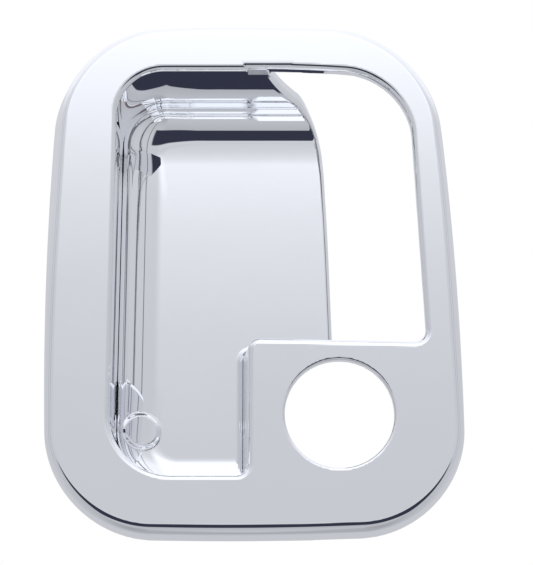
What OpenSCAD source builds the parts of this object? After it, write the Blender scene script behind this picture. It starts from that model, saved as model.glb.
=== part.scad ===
// Chromed surround for a truck's outside door handle, upright as on the door.
// X runs across the door, Y into the door and Z up. The origin is in the plane of the
// rear rim, which rests on the door skin, level with the middle of the pocket.
// All sizes are in millimetres.

/* [Rim that rests on the door] */
// Left side of the rim, from the origin
rim_left = 78.5; // [76:0.5:82]
// Right side of the rim at mid height, from the origin
rim_right = 76.6; // [75:0.1:80]
// Lean of the right side and of the opening's right side, in degrees
side_lean = 2.6; // [2:0.1:3]
// Top of the rim, above the origin
rim_top = 99.8; // [99:0.2:103]
// Bottom of the rim, below the origin
rim_low = 101.2; // [99:0.2:103]
// Radius of the rim's four corners
corner_r = 38; // [34:1:40]

/* [Skirt] */
// Depth from the front face to the rim
skirt_d = 12; // [11:0.5:13]
// Outward lean of the skirt at its upper left corner, in degrees
flare_left = 17; // [14:1:20]
// Outward lean of the skirt at its upper right corner, in degrees
flare_right = 9; // [6:1:12]
// Outward lean of the skirt at its two lower corners, in degrees
flare_low = 7; // [4:1:9]
// Outer radius of the roll between the front face and the skirt
roll_r = 3.7; // [3.2:0.1:4]
// Thickness of the moulding
wall = 2.2; // [2:0.1:2.4]

/* [Pocket] */
// Depth of the pocket floor behind the front face
pocket_d = 48.5; // [46:0.5:50]
// Height of the pocket
pocket_h = 157.2; // [156:0.2:158]
// Left wall of the pocket, from the origin
pocket_left = 52.3; // [51:0.1:53]
// Radius of the pocket's upper left corner
pocket_top_r = 18; // [16:1:20]
// Radius of the pocket's lower left corner
pocket_low_r = 23; // [18:1:24]
// Radius between the pocket's walls and its floor
cove_r = 11; // [9:0.5:12]
// Right edge of the pocket floor at mid height
floor_edge = 29.6; // [28:0.2:30]
// Lean of that edge, in degrees
floor_lean = 1.6; // [1:0.1:2]
// Radius where that edge turns over the top cove
floor_turn_r = 10; // [8:0.5:11]
// Where that edge reaches the front across the top wall
turn_x = 5.7; // [5:0.1:6.5]
// Depth of the turned lip along that edge
lip_d = 5; // [4:0.5:6]
// How far the front face stands back from the pocket's walls, at its rolled edge
edge_gap = 0.4; // [0.3:0.1:0.6]

/* [Opening for the paddle] */
// Top of the opening
opening_top = 79.7; // [79.5:0.1:80]
// Right side of the opening at mid height
opening_right = 63; // [62:0.1:63.5]
// Radius of its upper right corner
opening_r = 24; // [22:1:26]
// Radius of its lower right corner
opening_low_r = 5; // [4:0.5:6]
// Depth of the flange round the opening
flange_d = 5.2; // [4.8:0.1:6]
// Where the opening meets the pocket's top wall
step_x = -2.4; // [-4:0.2:0]
// Rear end of the shallow recess beside that step
recess_y = 3.5; // [2:0.5:5]

/* [Lock pad] */
// Top of the pad
pad_top = -27.8; // [-30:0.1:-27]
// Left side of the pad, which is the pocket's right wall
pad_left = -1.5; // [-3:0.1:-1]
// Radius of the pad's upper left corner
pad_r = 4; // [3.5:0.5:5]
// Centre of the lock hole across
lock_x = 31.7; // [31:0.1:32]
// Centre of the lock hole in height
lock_z = -56.1; // [-57:0.1:-55.5]
// Diameter of the lock hole
lock_d = 40; // [38:1:40]
// Depth of the collar round the lock hole
collar_d = 4; // [3.5:0.5:5]

/* [Screw clearance boss] */
// Diameter of the boss
boss_d = 15; // [13:1:16]
// How far it stands out of the cove
boss_h = 1.2; // [1:0.1:1.5]
// Its centre across
boss_x = -43.4; // [-45:0.1:-42]
// Its centre in height
boss_z = -53.8; // [-56:0.1:-52]

/* [Tape and release film] */
// Thickness of the foam tape
tape_t = 1.1; // [0.8:0.1:1.5]
// Thickness of the release film
film_t = 0.15; // [0.1:0.05:0.3]
// Length of a film's pull tab past the tape, before its round end
tab_l = 4; // [3:1:5]

/* [Hidden] */
$fn = 64;
front_y = -skirt_d;
floor_y = front_y + pocket_d;
seat_y = front_y + wall;
inside_y = front_y + wall / 2;
chrome = [0.86, 0.87, 0.89];
foam_grey = [0.32, 0.33, 0.34];
film_red = [0.78, 0.10, 0.10];

// A run of points round part of a circle.
function arc(c, r, a0, a1, n = 10) =
  [for (i = [0:n]) c + r * [cos(a0 + (a1 - a0) * i / n), sin(a0 + (a1 - a0) * i / n)]];

// An outline is a ring of corner circles [x, z, radius], counter-clockwise from the front.
function centre(c) = [c[0], c[1]];
// Outward direction of the side from circle a to circle b.
function side_dir(a, b) =
  let (v = centre(b) - centre(a), turn = atan2(v[1], v[0]) - acos((a[2] - b[2]) / norm(v)))
  [cos(turn), sin(turn)];
// Corner circle of radius r between a right side leaning by lean and the level z = edge.
function right_corner(x_mid, lean, edge, up, r) =
  let (z = edge - up * r) [x_mid - z * tan(lean) - r / cos(lean), z, r];

RIM = [
  right_corner(rim_right, side_lean, -rim_low, -1, corner_r),
  right_corner(rim_right, side_lean, rim_top, 1, corner_r),
  [corner_r - rim_left, rim_top - corner_r, corner_r],
  [corner_r - rim_left, corner_r - rim_low, corner_r]
];
POCKET = [
  [60, 5 - pocket_h / 2, 5],
  [60, pocket_h / 2 - 5, 5],
  [pocket_top_r - pocket_left, pocket_h / 2 - pocket_top_r, pocket_top_r],
  [pocket_low_r - pocket_left, pocket_low_r - pocket_h / 2, pocket_low_r]
];
OPENING = [
  right_corner(opening_right, side_lean, pad_top, -1, opening_low_r),
  right_corner(opening_right, side_lean, opening_top, 1, opening_r),
  [step_x + 0.5, opening_top - 0.5, 0.5],
  [step_x + 0.5, pad_top + 0.5, 0.5]
];
FLOOR = [
  right_corner(floor_edge, floor_lean, pad_top - 12, -1, 10),
  right_corner(floor_edge, floor_lean, pocket_h / 2 - 0.3, 1, floor_turn_r),
  [-80, pocket_h / 2 - 0.3 - floor_turn_r, floor_turn_r],
  [-80, pad_top + 8, 10]
];
// The free edge from the front across the top wall to the cove, as [x, depth].
SLANT = [[turn_x, 1], [turn_x + 5.6, 14], [turn_x + 10.3, 19], [turn_x + 18, floor_y - 4]];

// Flat shape of an outline, made bigger by grow.
module outline(ring, grow = 0) {
  n = len(ring);
  union() {
    polygon([for (i = [0:n - 1]) let (
      a = ring[i],
      b = ring[(i + 1) % n],
      d = side_dir(a, b)
    ) each [centre(a) + (a[2] + grow) * d, centre(b) + (b[2] + grow) * d]]);
    for (c = ring)
      translate(centre(c)) circle(c[2] + grow);
  }
}

// A flat front-view shape given thickness from y0 back to y1.
module slab(y0, y1) {
  translate([0, y1, 0]) rotate([90, 0, 0]) linear_extrude(y1 - y0) children();
}

// Turns local x to direction d in the front view, local y to Y, and local z along the outline.
module along(d, at) {
  multmatrix([[d[0], 0, -d[1], at[0]], [0, 1, 0, 0], [d[1], 0, d[0], at[1]]]) children();
}

// Sweeps a section (across the outline, depth) along the side from circle a to circle b.
module side(a, b) {
  d = side_dir(a, b);
  length = sqrt(pow(norm(centre(b) - centre(a)), 2) - pow(a[2] - b[2], 2));
  along(d, centre(a) + a[2] * d) linear_extrude(length) children();
}

// Turns a section (distance from the circle's centre, depth) round corner b, between its two sides.
module corner(a, b, c) {
  d0 = side_dir(a, b);
  d1 = side_dir(b, c);
  turn = acos(d0 * d1);
  multmatrix([[d1[0], d1[1], 0, b[0]], [0, 0, 1, 0], [d1[1], -d1[0], 0, b[1]]])
    rotate_extrude(angle = turn, $fn = 128) children();
}

// Lean of the skirt at a corner of the rim.
function flare(c) = c[1] < 0 ? flare_low : c[0] < 0 ? flare_left : flare_right;
// How far the flat of the front face stands in from the rim at a corner.
function rim_step(c) =
  roll_r * cos(flare(c)) + (skirt_d - roll_r * (1 - sin(flare(c)))) * tan(flare(c));

// One corner of the shell between the front face and the rim, inset from its outer skin.
module rim_corner(c, inset) {
  lean = flare(c);
  front_r = c[2] - rim_step(c);
  past = inset > 0 ? 1 : 0;
  edge = c[2] - inset / cos(lean) + past * tan(lean);
  roll = arc([front_r, front_y + roll_r], roll_r - inset, -90, -lean, 6);
  along([1, 0], centre(c)) rotate([-90, 0, 0]) rotate_extrude($fn = 48)
    polygon(concat([[0, front_y + inset]], roll, [[edge, past], [0, past]]));
}

// Section of the pocket's wall and cove, with the wall's inner face at 0.
module pocket_section() {
  c = [-cove_r, floor_y - cove_r];
  polygon(concat(
    [[0, inside_y], [wall, inside_y]],
    arc(c, cove_r + wall, 0, 90, 14),
    arc(c, cove_r, 90, 0, 14)
  ));
}

// The front wall with its rolled edge and flared skirt, before it is cut.
module front_shell() {
  difference() {
    hull() for (c = RIM) rim_corner(c, 0);
    hull() for (c = RIM) rim_corner(c, wall);
  }
}

// The whole hole cut in the front face for the pocket and the opening.
module front_cut() {
  difference() {
    union() {
      intersection() {
        outline(POCKET, edge_gap);
        translate([-100, -100]) square([100 + step_x, 200]);
      }
      outline(OPENING, edge_gap);
    }
    pad_space(edge_gap);
  }
}

// Solid band round the opening that its flange is cut from.
module flange_band() {
  slab(inside_y, front_y + flange_d) difference() {
    outline(OPENING, wall + edge_gap);
    translate([-60, -100]) square([60 + step_x - wall, 200]);
    translate([-60, -100]) square([60 + pad_left + pad_r, 110]);
  }
}

// The pocket's top, left and bottom walls with their coves, and the flat floor.
module pocket_shell() {
  side(POCKET[1], POCKET[2]) pocket_section();
  corner(POCKET[1], POCKET[2], POCKET[3]) translate([pocket_top_r, 0]) pocket_section();
  side(POCKET[2], POCKET[3]) pocket_section();
  corner(POCKET[2], POCKET[3], POCKET[0]) translate([pocket_low_r, 0]) pocket_section();
  intersection() {
    side(POCKET[3], POCKET[0]) pocket_section();
    translate([-100, -50, -100]) cube([100 + pad_left + wall, 100, 100]);
  }
  slab(floor_y, floor_y + wall) difference() {
    outline([
      [60, cove_r + 5 - pocket_h / 2, 5],
      [60, pocket_h / 2 - cove_r - 5, 5],
      [pocket_top_r - pocket_left, pocket_h / 2 - pocket_top_r, pocket_top_r - cove_r],
      [pocket_low_r - pocket_left, pocket_low_r - pocket_h / 2, pocket_low_r - cove_r]
    ]);
    pad_space(wall);
  }
}

// Front view of the space kept for the pad, inside its walls.
module pad_space(inset = 0) {
  difference() {
    translate([pad_left + inset, -100]) square([120, 100 + pad_top - inset]);
    difference() {
      translate([pad_left, pad_top - pad_r]) square([pad_r, pad_r]);
      translate([pad_left + pad_r, pad_top - pad_r]) circle(pad_r - inset);
    }
  }
}

// The pocket's walls round the pad: beside it, round its corner and over its top.
module pad_walls() {
  intersection() {
    slab(inside_y, floor_y + wall) difference() {
      pad_space();
      pad_space(wall);
      translate([60, -100]) square([100, 200]);
    }
    union() {
      translate([-100, front_y, wall * 2 - pocket_h / 2]) cube([200, pocket_d + wall, 150]);
      intersection() {
        side(POCKET[3], POCKET[0]) polygon(concat(
          [[-60, front_y], [wall, front_y]],
          arc([-cove_r, floor_y - cove_r], cove_r + wall, 0, 90, 14),
          [[-60, floor_y + wall]]
        ));
        translate([-100, -50, -100]) cube([200, 100, 60]);
      }
    }
  }
}

// What is kept of the pocket, left of its free edge, which slants back across the top wall.
module kept_pocket() {
  union() {
    slab(front_y, floor_y + lip_d) union() {
      outline(FLOOR);
      translate([-80, -90]) square([80 + pad_left + wall, 100]);
    }
    translate([0, 0, 50]) linear_extrude(40)
      polygon(concat([[-80, 60], [-80, front_y], [turn_x, front_y]], SLANT, [[turn_x + 18, 60]]));
  }
}

// Lip turned back along the free edge of the floor, before that edge is cut.
module floor_lip() {
  slab(floor_y + wall / 2, floor_y + lip_d + 1) intersection() {
    difference() {
      outline(FLOOR, 3);
      outline(FLOOR, -wall);
    }
    translate([0, pad_top + 12]) square([60, pocket_h / 2 - cove_r - pad_top - 12]);
  }
}

// Shallow recess in the end of the top wall, which clears the end of the paddle.
module step_recess() {
  translate([step_x, front_y, opening_top - 5])
    cube([13, recess_y - front_y, 5]);
}

// Round bump that follows the cove and clears a screw head behind it.
module boss() {
  intersection() {
    translate([boss_x, floor_y - cove_r, boss_z]) rotate([-90, 0, 0])
      cylinder(h = cove_r + wall, d = boss_d);
    translate([cove_r - pocket_left, floor_y - cove_r, boss_z]) difference() {
      cylinder(h = 40, r = cove_r + wall / 2, center = true, $fn = 96);
      cylinder(h = 42, r = cove_r - boss_h, center = true, $fn = 96);
    }
  }
}

module bezel() {
  color(chrome) difference() {
    union() {
      difference() {
        union() {
          front_shell();
          flange_band();
        }
        slab(front_y - 1, front_y + flange_d + 1) front_cut();
      }
      intersection() {
        union() {
          pocket_shell();
          pad_walls();
          floor_lip();
        }
        kept_pocket();
      }
      boss();
      slab(inside_y, front_y + collar_d) translate([lock_x, lock_z]) circle(lock_d / 2 + wall);
      translate([step_x - wall, inside_y, opening_top - wall])
        cube([turn_x - step_x + wall, recess_y + wall - inside_y, 2 * wall]);
    }
    step_recess();
    translate([lock_x, 0, lock_z]) rotate([90, 0, 0])
      cylinder(h = 60, d = lock_d, center = true, $fn = 128);
  }
}

// Tape strips: [name, centre x, centre z, width, length, 1 if it runs up, face it sticks to].
back_y = floor_y + wall;
top_band = (opening_top + wall + rim_top - rim_step(RIM[2])) / 2;
left_band = (rim_step(RIM[2]) - rim_left - pocket_left - wall) / 2;
low_band = (rim_step(RIM[3]) - rim_low - pocket_h / 2 - wall) / 2;
lock_reach = lock_d / 2 + wall;
TAPES = [
  ["top", -26, top_band, 6, 40, 0, seat_y],
  ["left_upper", left_band, 34, 9, 50, 1, seat_y],
  ["left_lower", left_band, -34, 9, 50, 1, seat_y],
  ["bottom_left", -20, low_band, 7, 34, 0, seat_y],
  ["bottom_right", 28, low_band, 7, 40, 0, seat_y],
  ["lock_left", lock_x - lock_reach - 4.6, lock_z + 2, 6, 36, 1, seat_y],
  ["lock_right", lock_x + lock_reach + 6, lock_z + 2, 8, 36, 1, seat_y],
  ["floor_left", -27, 6, 12, 84, 1, back_y],
  ["floor_right", 12, 18, 12, 64, 1, back_y]
];

// Puts a strip lying along X where its row of TAPES says, up to its own thickness off the face.
module strip(t, lift, thick) {
  translate([t[1], t[6] + lift, t[2]]) rotate([0, t[5] * 90, 0])
    slab(0, thick) children();
}

module tape(t) {
  color(foam_grey) strip(t, 0, tape_t)
    square([t[4], t[3]], center = true);
}

// The film covers its strip and runs past one end as a round pull tab.
module liner(t) {
  color(film_red) strip(t, tape_t, film_t) union() {
    translate([-t[4] / 2, -t[3] / 2]) square([t[4] + tab_l, t[3]]);
    translate([t[4] / 2 + tab_l, 0]) circle(t[3] / 2);
  }
}

bezel();
for (t = TAPES) {
  tape(t);
  liner(t);
}
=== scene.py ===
import math

import bmesh
import bpy
import numpy as np
from mathutils import Euler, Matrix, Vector


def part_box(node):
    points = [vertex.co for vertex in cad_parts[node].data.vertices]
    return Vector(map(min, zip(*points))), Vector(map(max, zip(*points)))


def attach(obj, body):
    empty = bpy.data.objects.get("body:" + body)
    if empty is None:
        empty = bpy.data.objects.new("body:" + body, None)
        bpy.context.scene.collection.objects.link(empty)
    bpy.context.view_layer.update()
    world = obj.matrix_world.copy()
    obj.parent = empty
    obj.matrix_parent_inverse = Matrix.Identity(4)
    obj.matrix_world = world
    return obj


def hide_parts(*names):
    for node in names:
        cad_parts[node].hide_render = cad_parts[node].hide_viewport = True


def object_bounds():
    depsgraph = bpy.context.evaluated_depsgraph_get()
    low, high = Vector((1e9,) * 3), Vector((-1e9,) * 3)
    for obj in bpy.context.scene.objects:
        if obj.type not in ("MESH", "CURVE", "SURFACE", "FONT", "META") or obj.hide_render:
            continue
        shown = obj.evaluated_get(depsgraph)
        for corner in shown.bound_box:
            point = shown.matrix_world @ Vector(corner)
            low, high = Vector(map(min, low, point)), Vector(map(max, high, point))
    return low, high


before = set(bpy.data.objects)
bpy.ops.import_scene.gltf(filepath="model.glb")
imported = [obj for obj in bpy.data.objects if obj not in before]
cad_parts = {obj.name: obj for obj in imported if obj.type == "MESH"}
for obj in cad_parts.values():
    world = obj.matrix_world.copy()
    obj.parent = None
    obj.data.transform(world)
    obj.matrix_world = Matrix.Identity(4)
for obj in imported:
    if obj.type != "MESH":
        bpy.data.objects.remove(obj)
cad_lo, cad_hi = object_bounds()

# The moulding is worked out in millimetres and built in metres. X runs across the
# door, Y into the door, Z up, and the rear rim lies on Y = 0.
MM = 0.001
bezel_lo, bezel_hi = (np.array(corner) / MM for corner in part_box("bezel"))

# --- Sizes of the moulding ---------------------------------------------------
WALL = 2.2
FRONT_Y = bezel_lo[1]
RIM_LEFT = bezel_lo[0]
RIM_TOP = bezel_hi[2]
RIM_LOW = -bezel_lo[2]
RIM_RIGHT = 76.9
SIDE_LEAN = math.radians(2.6)
RIM_CORNER_R = 38.0
SIDE_CROWN_R = 1300.0
TOP_CROWN_R = 560.0
LOW_CROWN_R = 1100.0
CROWN_X = -9.0
SKIRT_ROLL_R = 3.7
# How far the skirt leans out for each millimetre of its depth.
LEAN_LOW, LEAN_MIDDLE, LEAN_TOP = 0.12, 0.25, 0.3
LEAN_RISE = 0.0019
RIGHT_LEAN_LOSS = 0.5
RIM_BAND = 10.0

FLOOR_Y = FRONT_Y + 48.5
POCKET_LEFT = -52.3
POCKET_HALF_H = 78.6
POCKET_TOP_R = 18.0
POCKET_LOW_R = 23.0
COVE_R = 12.5
COVE_ASPECT = 1.25
LEFT_COVE_R = 18.0
LOW_COVE_R = 14.5
PAD_COVE_R = 2.8
PAD_FOOT_R = 4.5
LIP_ROLL_R = 2.1
FLOOR_TILT = 0.016
FLOOR_BEND_Z, FLOOR_BEND_R = 57.5, 106.0

PAD_LEFT = -1.5
PAD_TOP = -27.8
PAD_TOP_DRAFT = 0.12
PAD_TOP_FALL = 0.022
PAD_LEFT_DRAFT = 0.06
PAD_CORNER_R = 4.0
LOCK_X, LOCK_Z, LOCK_R = 31.7, -56.1, 20.0
LOCK_ROLL_R = 1.0
COLLAR_Y = FRONT_Y + 4

OPENING_TOP = 79.6
OPENING_RIGHT = 63.0
OPENING_CORNER_R = 24.0
OPENING_LOW_R = 5.0
OPENING_CROWN_R = 560.0
FLANGE_Y = FRONT_Y + 5.2
STEP_X = -2.4
RECESS_Y = 3.5
RECESS_W, RECESS_H, RECESS_FALL = 16.0, 8.0, 0.12
FLANGE_CLEARANCE = 9.0
EDGE_ROLL_R = 2.3
EDGE_LIP = 5.0
PAST_EDGE = 8.0
# The pocket's free edge: how far across it lies at each distance along the section of
# the top wall, the cove and the floor, measured back from the rim plane.
EDGE = [
    (-12, 5.0), (-4, 6.8), (8, 10.6), (22, 16.8), (31, 21.7),
    (38, 25.3), (44, 27.1), (52, 28.1), (68, 29.0), (138, 31.4),
]

BOSS_X, BOSS_Z, BOSS_R, BOSS_H = -43.4, -53.8, 7.8, 1.2
BOSS_SHOULDER = 2.4

MIN_EDGE_R = 0.4
NET_MARGIN, NET_CELL = 3.0, 0.7
MOULDING_FACES = 180000


# --- Distance fields, negative inside ----------------------------------------
def blend_step(x, start, end):
    t = np.clip((x - start) / (end - start), 0, 1)
    return t * t * (3 - 2 * t)


def both(a, b, r=0.0, cos_between=0.0):
    """What two solids share, with the edge between them rounded to radius r.
    cos_between is the cosine of the angle between the two faces' normals."""
    u, w = a + r, b + r
    sin_between = np.sqrt(1 - cos_between**2)
    v = (w - u * cos_between) / sin_between
    t = (u - w * cos_between) / sin_between
    return np.where((v > 0) & (t > 0), np.hypot(u, v) - r, np.maximum(a, b))


def coved(wall, floor, r):
    """Pocket air between a wall and the floor, with a quarter ellipse between them that
    reaches r along the floor and r / COVE_ASPECT up the wall."""
    u, v = wall + r, floor * COVE_ASPECT + r
    h = np.hypot(u, v)
    rounded = (h - r) * h / np.maximum(np.hypot(u, v * COVE_ASPECT), 1e-9)
    return np.where((u > 0) & (v > 0), rounded, np.maximum(wall, floor))


def edge_x(s):
    """Smooth run through EDGE, and its slope."""
    at = np.array([p[0] for p in EDGE], float)
    x = np.array([p[1] for p in EDGE], float)
    slope = np.gradient(x, at)
    i = np.clip(np.searchsorted(at, s) - 1, 0, len(at) - 2)
    span = at[i + 1] - at[i]
    t = np.clip((s - at[i]) / span, 0, 1)
    h = [2 * t**3 - 3 * t**2 + 1, t**3 - 2 * t**2 + t, 3 * t**2 - 2 * t**3, t**3 - t**2]
    value = h[0] * x[i] + h[1] * span * slope[i] + h[2] * x[i + 1] + h[3] * span * slope[i + 1]
    return value, slope[i] * (1 - t) + slope[i + 1] * t


def rim_outline(x, z):
    """Front view of the rim, with softly crowned sides."""
    bow = z**2 / (2 * SIDE_CROWN_R)
    left = RIM_LEFT - x + bow
    right = (x - RIM_RIGHT + z * math.tan(SIDE_LEAN) + bow) * math.cos(SIDE_LEAN)
    top = z - RIM_TOP + (x - CROWN_X) ** 2 / (2 * TOP_CROWN_R)
    low = -z - RIM_LOW + (x - CROWN_X) ** 2 / (2 * LOW_CROWN_R)
    r = RIM_CORNER_R
    return np.maximum(
        np.maximum(both(left, top, r), both(left, low, r)),
        np.maximum(both(right, top, r), both(right, low, r)),
    )


def pad_top(x, y):
    """Level of the pad's top wall, which falls gently to the right."""
    return PAD_TOP + PAD_TOP_DRAFT * (y - FRONT_Y) - PAD_TOP_FALL * (x - PAD_LEFT)


def pad_outline(x, y, z):
    """The raised pad that holds the lock, which widens towards the floor."""
    left = PAD_LEFT - PAD_LEFT_DRAFT * (y - FRONT_Y) - x
    return both(left, z - pad_top(x, y), PAD_CORNER_R)


def pocket(x, y, z):
    """The air in the pocket, as if its floor ran on to the right."""
    left, top, low = POCKET_LEFT - x, z - POCKET_HALF_H, -POCKET_HALF_H - z
    pad = pad_outline(x, y, z)
    walls = np.maximum(both(left, top, POCKET_TOP_R), both(left, low, POCKET_LOW_R))
    cove = COVE_R + (LEFT_COVE_R - COVE_R) * blend_step(left - top, -22, 22)
    cove = cove + (LOW_COVE_R - cove) * blend_step(-z, 35, 70)
    floor = FLOOR_Y + FLOOR_TILT * z - np.maximum(z - FLOOR_BEND_Z, 0) ** 2 / (2 * FLOOR_BEND_R)
    foot = PAD_FOOT_R * blend_step(floor - y, 8, 22)
    air = both(coved(walls, y - floor, cove), both(-pad, y - floor, PAD_COVE_R), foot)
    boss = np.hypot(x - BOSS_X, z - BOSS_Z)
    return air + BOSS_H * blend_step(-boss, -BOSS_R, BOSS_SHOULDER - BOSS_R) * (x < 0) * (y > 0)


def opening(x, y, z):
    """The opening that the paddle shows through: its air past the free edge, its air within
    its other sides, and how far a point lies past the free edge."""
    # s is measured along the section: back over the top wall, round its cove, down the floor.
    cove_y, cove_z = FLOOR_Y - COVE_R, POCKET_HALF_H - COVE_R
    turned = cove_y + COVE_R * np.arctan2(y - cove_y, np.maximum(z - cove_z, 1e-6))
    s = np.where(y < cove_y, y, turned)
    s = np.where(z < cove_z, cove_y + COVE_R * math.pi / 2 + cove_z - z, s)
    across, slope = edge_x(s)
    left = (across - x) / np.hypot(1, slope)
    top = z - OPENING_TOP + np.maximum(x - STEP_X, 0) ** 2 / (2 * OPENING_CROWN_R)
    # Behind the flange the opening is taller, so that no strip of wall is left over it.
    top = np.minimum(top, np.maximum(FLANGE_Y + 1 - y, top - FLANGE_CLEARANCE))
    right = (x - OPENING_RIGHT + z * math.tan(SIDE_LEAN)) * math.cos(SIDE_LEAN)
    body = np.maximum(both(top, right, OPENING_CORNER_R), both(right, pad_top(x, y) - z, OPENING_LOW_R))
    return left, body, x - across


def skirt_lean(x, z):
    """How far the skirt leans out: most at the upper left, and less to the right."""
    lean = np.clip(LEAN_MIDDLE + LEAN_RISE * z, LEAN_LOW, LEAN_TOP)
    return lean * (1 - RIGHT_LEAN_LOSS * blend_step(x, 0, 70) * blend_step(z, -40, 40))


def skin(x, y, z):
    """Solid behind the plated front skin, and the two distances its back edge is cut by."""
    right_of_edge, within, past_edge = opening(x, y, z)
    # The pocket's air stops a little past the free edge, inside the opening.
    pocket_air = np.maximum(pocket(x, y, z), past_edge - PAST_EDGE)
    recess = np.maximum(np.maximum(STEP_X - x, x - STEP_X - RECESS_W), y - RECESS_Y)
    recess_top = OPENING_TOP - RECESS_FALL * (y - FRONT_Y)
    recess = np.maximum(recess, np.maximum(z - recess_top, POCKET_HALF_H - RECESS_H - z))
    roll = EDGE_ROLL_R * blend_step(right_of_edge - within, 0, 4)
    solid = both(-pocket_air, -np.maximum(right_of_edge, within), roll)
    solid = both(solid, -recess, 0.3)
    front = FRONT_Y - y
    solid = both(front, solid, LIP_ROLL_R)
    lock = np.hypot(x - LOCK_X, z - LOCK_Z) - LOCK_R
    solid = both(solid, -lock, LOCK_ROLL_R)
    rim = rim_outline(x, z)
    lean = skirt_lean(x, z)
    slant = np.sqrt(1 + lean**2)
    skirt = (rim - y * lean) / slant
    solid = both(solid, skirt, SKIRT_ROLL_R, lean / slant)
    near_pocket = np.maximum(past_edge - 1, pocket_air - EDGE_LIP)
    near_rim = np.maximum(y, -RIM_BAND - rim)
    kept = np.minimum(np.minimum(y - FLANGE_Y, near_pocket), near_rim)
    collar = np.maximum(lock - WALL * 2, COLLAR_Y - y)
    return solid, np.maximum(kept, -collar)


def moulding(x, y, z):
    """The moulding: a sheet of even thickness behind its front skin."""
    solid, kept = skin(x, y, z)
    sheet = np.maximum(solid, -solid - WALL)
    return both(sheet, kept, MIN_EDGE_R)


def gradient(field, p, step=0.01):
    g = np.empty_like(p)
    for axis in range(3):
        d = np.zeros(3)
        d[axis] = step
        g[:, axis] = (field(*(p + d).T) - field(*(p - d).T)) / (2 * step)
    return g


def settle(field, p, rounds=4):
    """Moves points along the field's slope until they lie on its surface."""
    for _ in range(rounds):
        g = gradient(field, p)
        size = np.maximum((g**2).sum(1), 0.2)
        p = p - np.clip(field(*p.T) / size, -0.4, 0.4)[:, None] * g
    return p


def surface_net(field, lo, hi, cell):
    """One vertex in each grid cell that the surface crosses, joined in quads."""
    axes = [np.arange(lo[a], hi[a] + cell, cell) for a in range(3)]
    x, y, z = np.meshgrid(*axes, indexing="ij", sparse=True)
    value = field(x, y, z)
    inside = value < 0
    total = np.zeros(tuple(n - 1 for n in value.shape) + (3,), np.float32)
    count = np.zeros(tuple(n - 1 for n in value.shape), np.float32)
    edges = []
    for axis in range(3):
        a = [slice(None)] * 3
        b = [slice(None)] * 3
        a[axis], b[axis] = slice(0, -1), slice(1, None)
        va, vb = value[tuple(a)], value[tuple(b)]
        crossing = np.argwhere(inside[tuple(a)] != inside[tuple(b)])
        i = tuple(crossing.T)
        t = va[i] / (va[i] - vb[i])
        edges.append((crossing, inside[tuple(a)][i]))
        others = [o for o in range(3) if o != axis]
        for du in (0, 1):
            for dw in (0, 1):
                c = crossing.copy()
                c[:, others[0]] -= du
                c[:, others[1]] -= dw
                ok = (c >= 0).all(1) & (c < np.array(count.shape)).all(1)
                offset = np.zeros((len(c), 3), np.float32)
                offset[:, axis] = t
                offset[:, others[0]] = du
                offset[:, others[1]] = dw
                j = tuple(c[ok].T)
                np.add.at(count, j, 1)
                np.add.at(total, j, offset[ok])
    cells = np.argwhere(count > 0)
    number = np.full(count.shape, -1, np.int64)
    number[tuple(cells.T)] = np.arange(len(cells))
    mean = total[tuple(cells.T)] / count[tuple(cells.T)][:, None]
    points = np.array(lo, float) + (cells + mean) * cell
    quads = []
    for axis, (crossing, starts_inside) in enumerate(edges):
        u, w = (axis + 1) % 3, (axis + 2) % 3
        ring = []
        for du, dw in ((0, 0), (1, 0), (1, 1), (0, 1)):
            c = crossing.copy()
            c[:, u] -= du
            c[:, w] -= dw
            ring.append(number[tuple(np.clip(c, 0, np.array(number.shape) - 1).T)])
        quad = np.stack(ring, 1)
        quad[~starts_inside] = quad[~starts_inside][:, ::-1]
        quads.append(quad)
    return points, np.concatenate(quads)


def triangles(points, quads):
    """Splits each quad across its shorter diagonal."""
    a, b, c, d = (points[quads[:, k]] for k in range(4))
    first = ((a - c) ** 2).sum(1) <= ((b - d) ** 2).sum(1)
    turned = np.where(first[:, None], quads, np.roll(quads, -1, 1))
    return np.concatenate([turned[:, [0, 1, 2]], turned[:, [0, 2, 3]]])


def mesh_object(name, points, faces, material_list):
    mesh = bpy.data.meshes.new(name)
    mesh.vertices.add(len(points))
    mesh.vertices.foreach_set("co", np.asarray(points, np.float32).ravel())
    faces = np.asarray(faces, np.int32)
    sides = faces.shape[1]
    mesh.loops.add(faces.size)
    mesh.loops.foreach_set("vertex_index", faces.ravel())
    mesh.polygons.add(len(faces))
    mesh.polygons.foreach_set("loop_start", np.arange(0, faces.size, sides, dtype=np.int32))
    mesh.update(calc_edges=True)
    mesh.validate()
    for material in material_list:
        mesh.materials.append(material)
    piece = bpy.data.objects.new(name, mesh)
    bpy.context.scene.collection.objects.link(piece)
    return piece


# --- Node helpers --------------------------------------------------------------
def new_material(name):
    material = bpy.data.materials.new(name)
    material.use_nodes = True
    nodes, links = material.node_tree.nodes, material.node_tree.links
    return material, nodes, links, nodes["Principled BSDF"]


def noise(nodes, links, where, scale, detail=3.0, rough=0.5, stretch=None):
    tex = nodes.new("ShaderNodeTexNoise")
    tex.inputs["Scale"].default_value = scale
    tex.inputs["Detail"].default_value = detail
    tex.inputs["Roughness"].default_value = rough
    if stretch:
        mapping = nodes.new("ShaderNodeMapping")
        mapping.inputs["Scale"].default_value = stretch
        links.new(where, mapping.inputs["Vector"])
        where = mapping.outputs["Vector"]
    links.new(where, tex.inputs["Vector"])
    return tex.outputs["Fac"]


def ramp(nodes, links, value, low, high, start=0.3, end=0.7):
    """Maps a 0 to 1 pattern to numbers between low and high."""
    node = nodes.new("ShaderNodeMapRange")
    node.inputs["From Min"].default_value = start
    node.inputs["From Max"].default_value = end
    node.inputs["To Min"].default_value = low
    node.inputs["To Max"].default_value = high
    links.new(value, node.inputs["Value"])
    return node.outputs["Result"]


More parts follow.
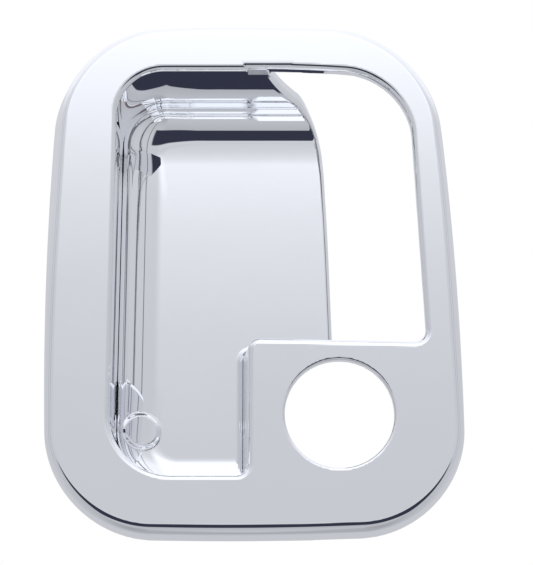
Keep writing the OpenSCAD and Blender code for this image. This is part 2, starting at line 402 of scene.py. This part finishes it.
def tint(nodes, links, value, dark, light):
    node = nodes.new("ShaderNodeMix")
    node.data_type = "RGBA"
    node.inputs[6].default_value = (*dark, 1)
    node.inputs[7].default_value = (*light, 1)
    links.new(value, node.inputs[0])
    return node.outputs[2]


def bump(nodes, links, bsdf, layers):
    """Stacks bump layers, each (height, strength, distance in metres)."""
    normal = None
    for height, strength, distance in layers:
        node = nodes.new("ShaderNodeBump")
        node.inputs["Strength"].default_value = strength
        node.inputs["Distance"].default_value = distance
        links.new(height, node.inputs["Height"])
        if normal:
            links.new(normal, node.inputs["Normal"])
        normal = node.outputs["Normal"]
    links.new(normal, bsdf.inputs["Normal"])


def chrome_material():
    """Bright decorative chrome on moulded ABS, with a faint orange peel."""
    material, nodes, links, bsdf = new_material("chrome_plating")
    where = nodes.new("ShaderNodeTexCoord").outputs["Object"]
    bsdf.inputs["Metallic"].default_value = 1.0
    haze = noise(nodes, links, where, 60, 4)
    colour = tint(nodes, links, haze, (0.925, 0.935, 0.955), (0.945, 0.955, 0.975))
    links.new(colour, bsdf.inputs["Base Color"])
    links.new(ramp(nodes, links, haze, 0.012, 0.035), bsdf.inputs["Roughness"])
    peel = noise(nodes, links, where, 95, 1.5)
    bump(nodes, links, bsdf, [(peel, 0.5, 0.00002)])
    return material


def back_material():
    """The unpolished back of the plated moulding."""
    material, nodes, links, bsdf = new_material("satin_back")
    where = nodes.new("ShaderNodeTexCoord").outputs["Object"]
    bsdf.inputs["Metallic"].default_value = 1.0
    cloud = noise(nodes, links, where, 28, 5, 0.6)
    colour = tint(nodes, links, cloud, (0.50, 0.50, 0.51), (0.66, 0.66, 0.67))
    links.new(colour, bsdf.inputs["Base Color"])
    links.new(ramp(nodes, links, cloud, 0.26, 0.4), bsdf.inputs["Roughness"])
    grain = noise(nodes, links, where, 900, 2)
    bump(nodes, links, bsdf, [(cloud, 0.3, 0.0003), (grain, 0.25, 0.00005)])
    return material


def foam_material():
    """Grey acrylic foam of the bonding tape, with fine closed cells."""
    material, nodes, links, bsdf = new_material("foam_tape")
    where = nodes.new("ShaderNodeTexCoord").outputs["Object"]
    cells = nodes.new("ShaderNodeTexVoronoi")
    cells.inputs["Scale"].default_value = 2600
    links.new(where, cells.inputs["Vector"])
    mottle = noise(nodes, links, where, 240, 4)
    colour = tint(nodes, links, mottle, (0.075, 0.077, 0.08), (0.13, 0.133, 0.138))
    links.new(colour, bsdf.inputs["Base Color"])
    links.new(ramp(nodes, links, mottle, 0.62, 0.85), bsdf.inputs["Roughness"])
    bump(nodes, links, bsdf, [(cells.outputs["Distance"], 0.5, 0.0001), (mottle, 0.35, 0.0002)])
    return material


def film_material():
    """Red release film: thin glossy polyethylene with soft wrinkles."""
    material, nodes, links, bsdf = new_material("release_film")
    where = nodes.new("ShaderNodeTexCoord").outputs["Object"]
    wrinkle = noise(nodes, links, where, 85, 4, 0.55, stretch=(1, 1, 0.35))
    shade = noise(nodes, links, where, 30, 2)
    colour = tint(nodes, links, shade, (0.50, 0.018, 0.016), (0.66, 0.035, 0.03))
    links.new(colour, bsdf.inputs["Base Color"])
    links.new(ramp(nodes, links, wrinkle, 0.18, 0.32), bsdf.inputs["Roughness"])
    bsdf.inputs["Coat Weight"].default_value = 0.4
    bsdf.inputs["Coat Roughness"].default_value = 0.08
    bump(nodes, links, bsdf, [(wrinkle, 0.4, 0.0003)])
    return material


chrome, satin = chrome_material(), back_material()
foam, film = foam_material(), film_material()


# --- The moulding --------------------------------------------------------------
def finish_moulding(piece, target_faces):
    """Thins the mesh out where it is flat, then puts it back on the exact surface."""
    thin = piece.modifiers.new("thin", "DECIMATE")
    thin.ratio = target_faces / len(piece.data.polygons)
    shown = piece.evaluated_get(bpy.context.evaluated_depsgraph_get())
    mesh = bpy.data.meshes.new_from_object(shown)
    piece.modifiers.clear()
    old, piece.data = piece.data, mesh
    bpy.data.meshes.remove(old)
    mesh.name = piece.name
    points = np.empty(len(mesh.vertices) * 3, np.float32)
    mesh.vertices.foreach_get("co", points)
    points = settle(moulding, points.reshape(-1, 3).astype(float) / MM, 3)
    mesh.vertices.foreach_set("co", (points * MM).astype(np.float32).ravel())
    mesh.update()
    normal = gradient(moulding, points)
    normal /= np.maximum(np.linalg.norm(normal, axis=1), 1e-9)[:, None]
    solid, _ = skin(*points.T)
    at_back = solid < -WALL / 2
    corners = np.empty(len(mesh.loops), np.int32)
    mesh.loops.foreach_get("vertex_index", corners)
    back_faces = at_back[corners.reshape(-1, 3)].sum(1) >= 2
    mesh.polygons.foreach_set("material_index", back_faces.astype(np.int32))
    mesh.polygons.foreach_set("use_smooth", np.ones(len(mesh.polygons), bool))
    mesh.normals_split_custom_set_from_vertices(normal)


net_points, net_faces = surface_net(moulding, bezel_lo - NET_MARGIN, bezel_hi + NET_MARGIN, NET_CELL)
net_points = settle(moulding, net_points)
cover = mesh_object("bezel_shell", net_points * MM, triangles(net_points, net_faces), [chrome, satin])
finish_moulding(cover, MOULDING_FACES)
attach(cover, "cover")
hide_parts("bezel")


# --- Tapes and release films ----------------------------------------------------
FOAM_OVERLAP = 1.0
FOAM_EDGE_R = 0.24
FOAM_WANDER = 0.08
FILM_COLUMNS = 15
# The tab curls up as the square of its length, and cups a little across its width.
FILM_CURL = 9.0
FILM_CUP = 0.12
SHARP_EDGE = math.radians(40)


def grid_faces(rows, columns, closed):
    """Quads of a grid of points; closed joins the last column to the first."""
    across = columns if closed else columns - 1
    i, j = np.meshgrid(np.arange(rows - 1), np.arange(across), indexing="ij")
    i, j = i.ravel(), j.ravel()
    k = (j + 1) % columns
    return np.stack([i * columns + j, i * columns + k, (i + 1) * columns + k, (i + 1) * columns + j], 1)


def place(local, lo, hi, runs_up):
    """Turns (along, across, depth) of a strip to the part's frame, from its box's middle."""
    middle = (np.array(lo) + np.array(hi)) / 2
    out = np.empty_like(local)
    out[:, 0] = middle[0] + (local[:, 1] if runs_up else local[:, 0])
    out[:, 2] = middle[2] + (-local[:, 0] if runs_up else local[:, 1])
    out[:, 1] = local[:, 2]
    return out


def strip_size(lo, hi):
    """Whether a strip runs up the part, and its length, width and thickness."""
    size = hi - lo
    return size.z > size.x, max(size.x, size.z), min(size.x, size.z), size.y


def foam_section(width, thick):
    """Points round a strip's section, with soft corners."""
    edge_r = FOAM_EDGE_R * MM
    ring = []
    for side in range(4):
        corner_w = (1, 1, -1, -1)[side] * (width / 2 - edge_r)
        corner_t = (-1, 1, 1, -1)[side] * (thick / 2 - edge_r)
        for step in range(5):
            a = math.radians(-90 + side * 90 + step * 22.5)
            ring.append((corner_w + edge_r * math.cos(a), corner_t + edge_r * math.sin(a)))
    return np.array(ring)


def foam_strip(name):
    """One strip of tape with soft cut edges that wander a little along its length. Its
    front reaches into the moulding, so that it bonds to the gently tilted pocket floor."""
    lo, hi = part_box(name)
    lo.y -= FOAM_OVERLAP * MM
    runs_up, length, width, thick = strip_size(lo, hi)
    ring = foam_section(width, thick)
    seed = sum(map(ord, name)) * 0.37
    stations = np.concatenate([[-0.5, -0.4985], np.linspace(-0.49, 0.49, 60), [0.4985, 0.5]]) * length
    rows = []
    for at in stations:
        shrink = FOAM_EDGE_R * MM * max(0, abs(at) / (length / 2) - 0.9985) / 0.0015 * 0.6
        wander = FOAM_WANDER * MM * (math.sin(at * 410 + seed) + 0.6 * math.sin(at * 930 + 2 * seed))
        w = ring[:, 0] * (1 - shrink / (width / 2)) - np.abs(wander) * np.sign(ring[:, 0])
        t = ring[:, 1] * (1 - shrink / (thick / 2))
        rows.append(np.stack([np.full(len(ring), at), w, t], 1))
    local = np.concatenate(rows)
    local[:, 2] += (lo.y + hi.y) / 2
    columns = len(ring)
    faces = grid_faces(len(stations), columns, True)
    last = (len(stations) - 1) * columns
    caps = []
    for base, flip in ((0, False), (last, True)):
        for k in range(1, columns // 2):
            quad = [base + k, base + k + 1, base + columns - k - 1, base + columns - k]
            if k + 1 == columns - k - 1:
                continue
            caps.append(quad[::-1] if flip else quad)
    faces = np.concatenate([faces, np.array(caps)])
    piece = mesh_object(name + "_foam", place(local, lo, hi, runs_up), faces, [foam])
    return tidy_strip(piece, "cover", name)


def release_film(name, tape_name, body):
    """The film over one strip, with a round pull tab that curls off the face."""
    lo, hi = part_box(name)
    tape_lo, tape_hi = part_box(tape_name)
    runs_up, length, width, thick = strip_size(lo, hi)
    tape_length = max(tape_hi.x - tape_lo.x, tape_hi.z - tape_lo.z)
    round_start = length - width / 2
    stations = np.concatenate([
        np.linspace(0, tape_length, 60),
        np.linspace(tape_length, round_start, 12)[1:],
        round_start + width / 2 * np.sin(np.linspace(0, math.pi / 2, 12)[1:-1]),
        [length - 0.00002],
    ])
    across = np.linspace(-1, 1, FILM_COLUMNS)
    rows = []
    for at in stations:
        past = max(0.0, at - round_start)
        half = math.sqrt(max((width / 2) ** 2 - past**2, 1e-10))
        curl = FILM_CURL * max(0.0, at - tape_length) ** 2
        cup = FILM_CUP * MM * blend_step(at, tape_length, length) * across**2
        rows.append(np.stack([np.full(FILM_COLUMNS, at - length / 2), half * across, curl + cup], 1))
    sheet = np.concatenate(rows)
    base, top = sheet.copy(), sheet.copy()
    base[:, 2] += lo.y
    top[:, 2] += lo.y + thick
    columns, count = FILM_COLUMNS, len(sheet)
    faces = grid_faces(len(stations), columns, False)
    rim = [*range(columns), *range(2 * columns - 1, count, columns)]
    rim += [*range(count - 2, count - columns - 1, -1), *range(count - 2 * columns, 0, -columns)]
    rim = np.array(rim)
    sides = np.stack([rim, np.roll(rim, -1), np.roll(rim, -1) + count, rim + count], 1)
    faces = np.concatenate([faces[:, ::-1], faces + count, sides])
    points = place(np.concatenate([base, top]), lo, hi, runs_up)
    piece = mesh_object(name + "_sheet", points, faces, [film])
    return tidy_strip(piece, body, name)


def tidy_strip(piece, body, node):
    """Turns faces outward, shades them smooth but for the cut edges, and seats the piece."""
    b = bmesh.new()
    b.from_mesh(piece.data)
    bmesh.ops.recalc_face_normals(b, faces=b.faces)
    for face in b.faces:
        face.smooth = True
    for line in b.edges:
        line.smooth = line.calc_face_angle(0) < SHARP_EDGE
    b.to_mesh(piece.data)
    b.free()
    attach(piece, body)
    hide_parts(node)
    return piece


for node in sorted(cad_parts):
    if node.startswith("tape_"):
        strip = node[len("tape_"):]
        foam_strip(node)
        release_film("liner_" + strip, node, "film_" + strip)


# --- Studio --------------------------------------------------------------------
def level_ramp(nodes, links, angle, stops):
    """Light level by elevation in degrees, as a bluish white."""
    position = nodes.new("ShaderNodeMapRange")
    position.inputs["From Min"].default_value = -90
    position.inputs["From Max"].default_value = 90
    links.new(angle, position.inputs["Value"])
    node = nodes.new("ShaderNodeValToRGB")
    marks = node.color_ramp.elements
    for at, _ in stops[1:-1]:
        marks.new((at + 90) / 180)
    for mark, (at, level) in zip(marks, stops):
        mark.color = (level * 0.955, level * 0.975, level * 1.03, 1)
    links.new(position.outputs["Result"], node.inputs["Fac"])
    return node.outputs["Color"]


def calc(nodes, links, operation, *values):
    node = nodes.new("ShaderNodeMath")
    node.operation = operation
    for socket, value in zip(node.inputs, values):
        if isinstance(value, (int, float)):
            socket.default_value = value
        else:
            links.new(value, socket)
    return node.outputs[0]


def soft_step(nodes, links, value, start, end):
    node = nodes.new("ShaderNodeMapRange")
    node.interpolation_type = "SMOOTHSTEP"
    node.inputs["From Min"].default_value = start
    node.inputs["From Max"].default_value = end
    links.new(value, node.inputs["Value"])
    return node.outputs["Result"]


def mix_light(nodes, links, share, first, second):
    node = nodes.new("ShaderNodeMix")
    node.data_type = "RGBA"
    for socket, value in ((node.inputs[0], share), (node.inputs[6], first), (node.inputs[7], second)):
        if isinstance(value, tuple):
            socket.default_value = (*value, 1)
        else:
            links.new(value, socket)
    return node.outputs[2]


# Light level by elevation in degrees: in front, where the soft box is, and elsewhere.
FRONT_LEVELS = [
    (-90, 0.58), (-62, 0.55), (-34, 0.48), (0, 0.66), (4, 0.67), (8, 0.63), (12, 0.65), (16, 0.71),
    (19.5, 0.83), (22, 0.98), (25, 1.16), (90, 1.16),
]
SIDE_LEVELS = [
    (-90, 0.50), (-70, 0.40), (-50, 0.52), (-20, 0.60), (15, 0.62), (30, 0.74), (42, 1.0), (90, 1.1),
]
NAVY = (0.034, 0.037, 0.060)
SEAMS = (49, 71)


def studio_world():
    """A light tent: bright above, grey at the sides, with a dark gap low in front."""
    world = bpy.data.worlds.new("studio")
    bpy.context.scene.world = world
    world.use_nodes = True
    nodes, links = world.node_tree.nodes, world.node_tree.links
    split = nodes.new("ShaderNodeSeparateXYZ")
    links.new(nodes.new("ShaderNodeTexCoord").outputs["Generated"], split.inputs["Vector"])
    degrees = 180 / math.pi
    up = calc(nodes, links, "MULTIPLY", calc(nodes, links, "ARCSINE", split.outputs["Z"]), degrees)
    forward = calc(nodes, links, "MULTIPLY", split.outputs["Y"], -1.0)
    turn = calc(nodes, links, "ARCTAN2", split.outputs["X"], forward)
    aside = calc(nodes, links, "MULTIPLY", calc(nodes, links, "ABSOLUTE", turn), degrees)
    front = level_ramp(nodes, links, up, FRONT_LEVELS)
    side = level_ramp(nodes, links, up, SIDE_LEVELS)
    room = mix_light(nodes, links, soft_step(nodes, links, aside, 9, 26), front, side)
    gap = calc(nodes, links, "MULTIPLY",
               soft_step(nodes, links, up, -35.5, -33.5), soft_step(nodes, links, up, 0.5, -2.5))
    gap = calc(nodes, links, "MULTIPLY", gap, soft_step(nodes, links, aside, 40, 34))
    room = mix_light(nodes, links, gap, room, NAVY)
    for seam in SEAMS:
        near = calc(nodes, links, "ABSOLUTE", calc(nodes, links, "SUBTRACT", aside, seam))
        line = calc(nodes, links, "MULTIPLY", soft_step(nodes, links, near, 1.6, 0.8), 0.65)
        room = mix_light(nodes, links, line, room, NAVY)
    seen = nodes.new("ShaderNodeLightPath").outputs["Is Camera Ray"]
    room = mix_light(nodes, links, seen, room, (1.0, 1.0, 1.0))
    links.new(room, nodes["Background"].inputs["Color"])


def studio_floor():
    """Large pale floor, well under the part."""
    level = cad_lo.z - 0.16
    reach = 6.0
    corners = [(x * reach, y * reach, level) for x, y in ((-1, -1), (1, -1), (1, 1), (-1, 1))]
    material, nodes, links, bsdf = new_material("pale_floor")
    bsdf.inputs["Base Color"].default_value = (0.9, 0.9, 0.9, 1)
    bsdf.inputs["Roughness"].default_value = 0.9
    floor = mesh_object("floor", np.array(corners), [[0, 1, 2, 3]], [material])
    floor.visible_glossy = False


def photo_camera():
    """Long lens, below the part and square on to it, looking up."""
    tilt = math.radians(16)
    distance, lens_px, frame_w = 0.650, 1733.3, 533
    target = Vector((0.00506, -0.006, -0.005))
    data = bpy.data.cameras.new("camera")
    data.sensor_fit = "HORIZONTAL"
    data.sensor_width = 36
    data.lens = lens_px / frame_w * data.sensor_width
    camera = bpy.data.objects.new("camera", data)
    camera.rotation_euler = Euler((math.pi / 2 + tilt, 0, 0))
    camera.location = target + Vector((0, -math.cos(tilt), -math.sin(tilt))) * distance
    bpy.context.scene.collection.objects.link(camera)
    bpy.context.scene.camera = camera


studio_world()
studio_floor()
photo_camera()
bpy.context.scene.view_settings.view_transform = "Standard"
